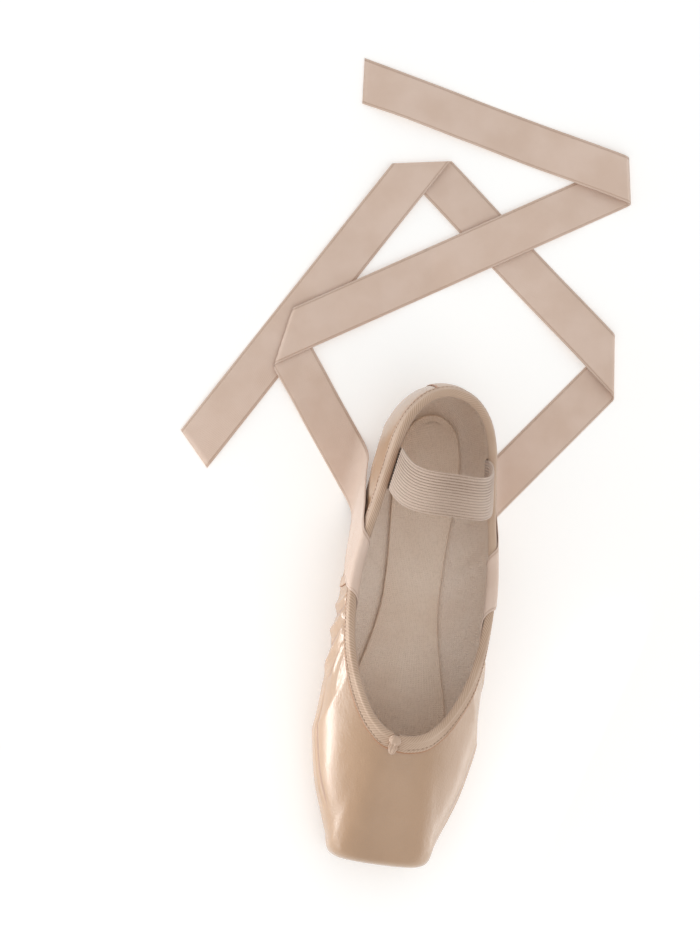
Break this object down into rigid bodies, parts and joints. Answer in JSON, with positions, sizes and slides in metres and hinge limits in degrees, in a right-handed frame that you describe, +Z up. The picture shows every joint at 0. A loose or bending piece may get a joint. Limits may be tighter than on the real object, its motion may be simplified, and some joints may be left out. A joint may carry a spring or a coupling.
{
  "type": "pointe shoe",
  "caption": "Satin pointe shoe with a hard toe box, bias-bound opening, leather sole, ankle ribbons lying loose and an elastic strap",
  "frame": {"origin": "on the floor under the middle of the shoe, halfway along it and on its middle line", "axes": "+Z up from the floor, -Y towards the toe and +Y towards the heel, X across the shoe"},
  "size_m": [0.2137, 0.3963, 0.1093],
  "materials": {
    "satin": "glossy woven satin, warm pale peach-beige",
    "binding_tape": "matte bias-cut ribbed tape",
    "ribbon_satin": "soft satin ribbon with woven edges",
    "elastic_webbing": "matte ribbed elastic",
    "sole_leather": "tan leather with an embossed diamond hatch and a dark burnished edge",
    "lining": "plain matte cotton canvas"
  },
  "bodies": {
    "root": {"upper": "satin", "outsole": "sole_leather", "insole": "lining", "binding": "binding_tape", "casing_gather": "binding_tape", "heel_strip": "satin", "side_seam_left": "satin", "side_seam_right": "satin", "elastic_strap": "elastic_webbing", "ribbon_left": "ribbon_satin", "ribbon_right": "ribbon_satin"}
  },
  "joints": []
}
